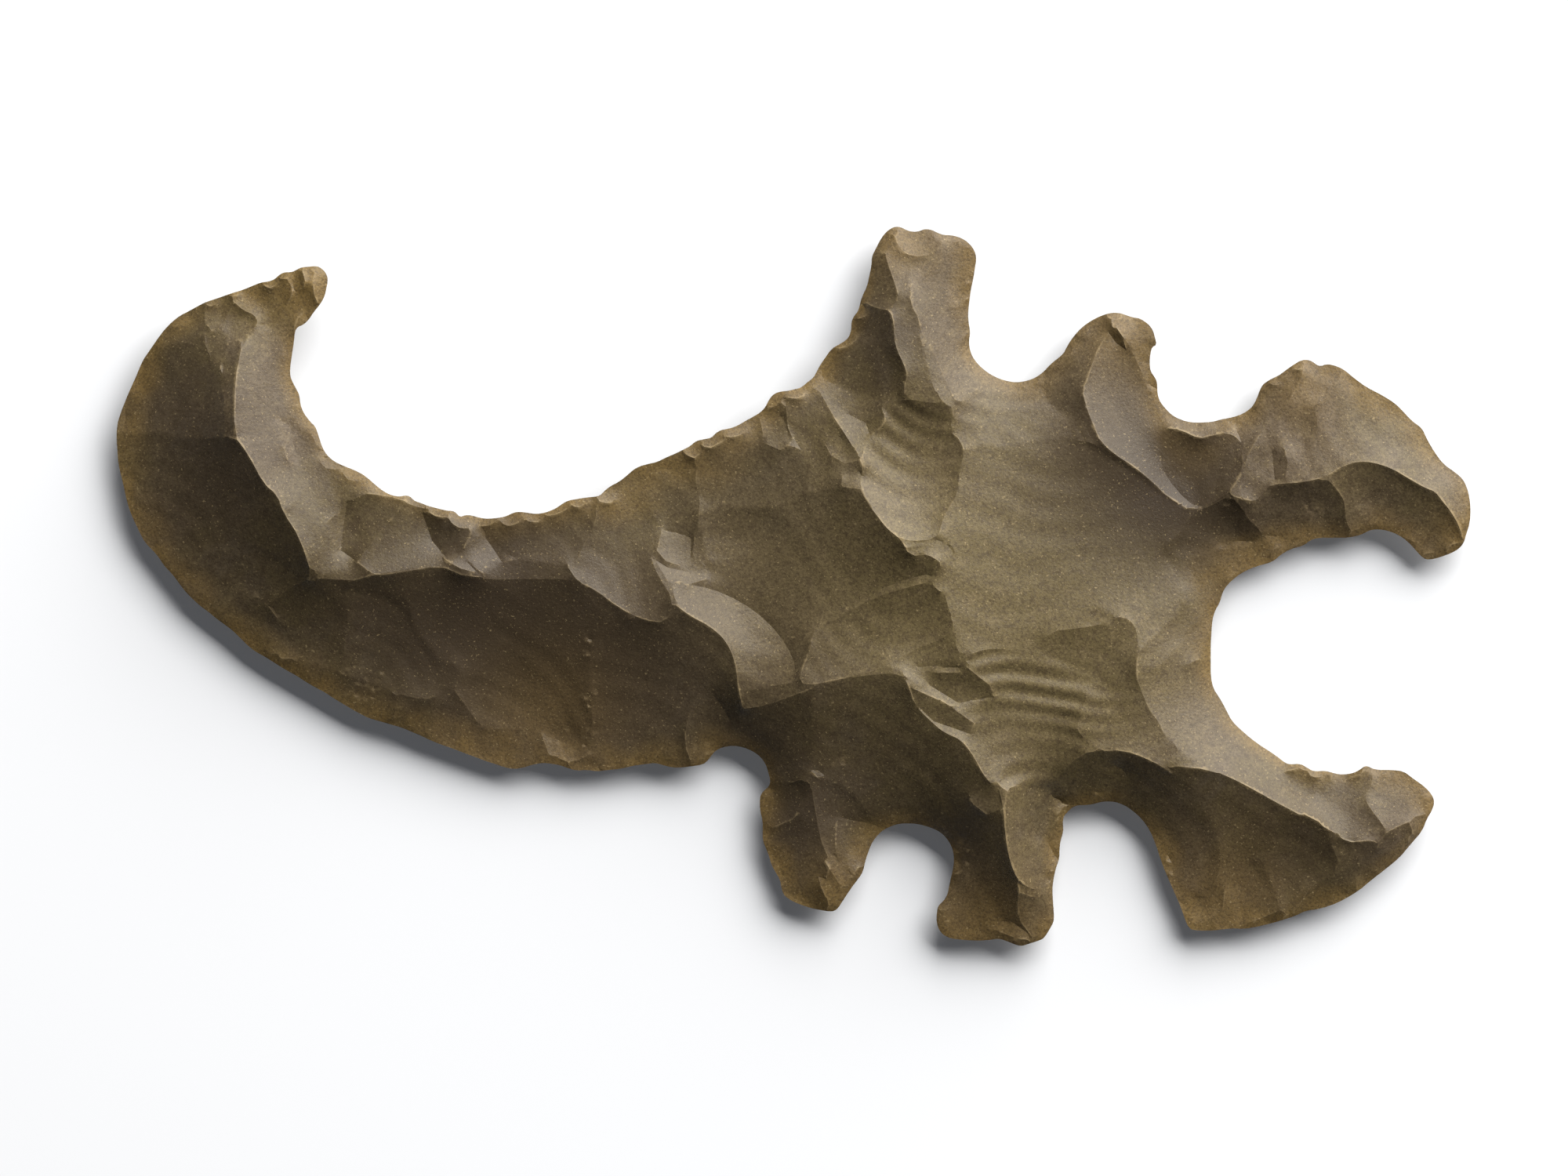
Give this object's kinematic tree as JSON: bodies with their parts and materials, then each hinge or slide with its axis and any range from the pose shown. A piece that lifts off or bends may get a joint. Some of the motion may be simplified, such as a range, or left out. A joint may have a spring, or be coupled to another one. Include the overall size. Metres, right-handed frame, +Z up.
{
  "type": "eccentric flint",
  "caption": "Blade of knapped brown chert with a hooked tail, a broad body, prongs, legs and open jaws, flaked on both faces and lying flat as a display or ritual piece.",
  "frame": {"origin": "under the middle of the stone's box, on the plane that it lies on, which is the flat left on its back", "axes": "+X from the hooked tail towards the jaws, +Y towards the prongs, +Z up out of the flaked front"},
  "size_m": [0.24, 0.1274, 0.015],
  "materials": {
    "chert": "freshly flaked grey-brown chert, dull and slightly waxy, honey-coloured and translucent at the thin edges"
  },
  "bodies": {
    "root": {"knapped_flint": "chert"}
  },
  "joints": []
}
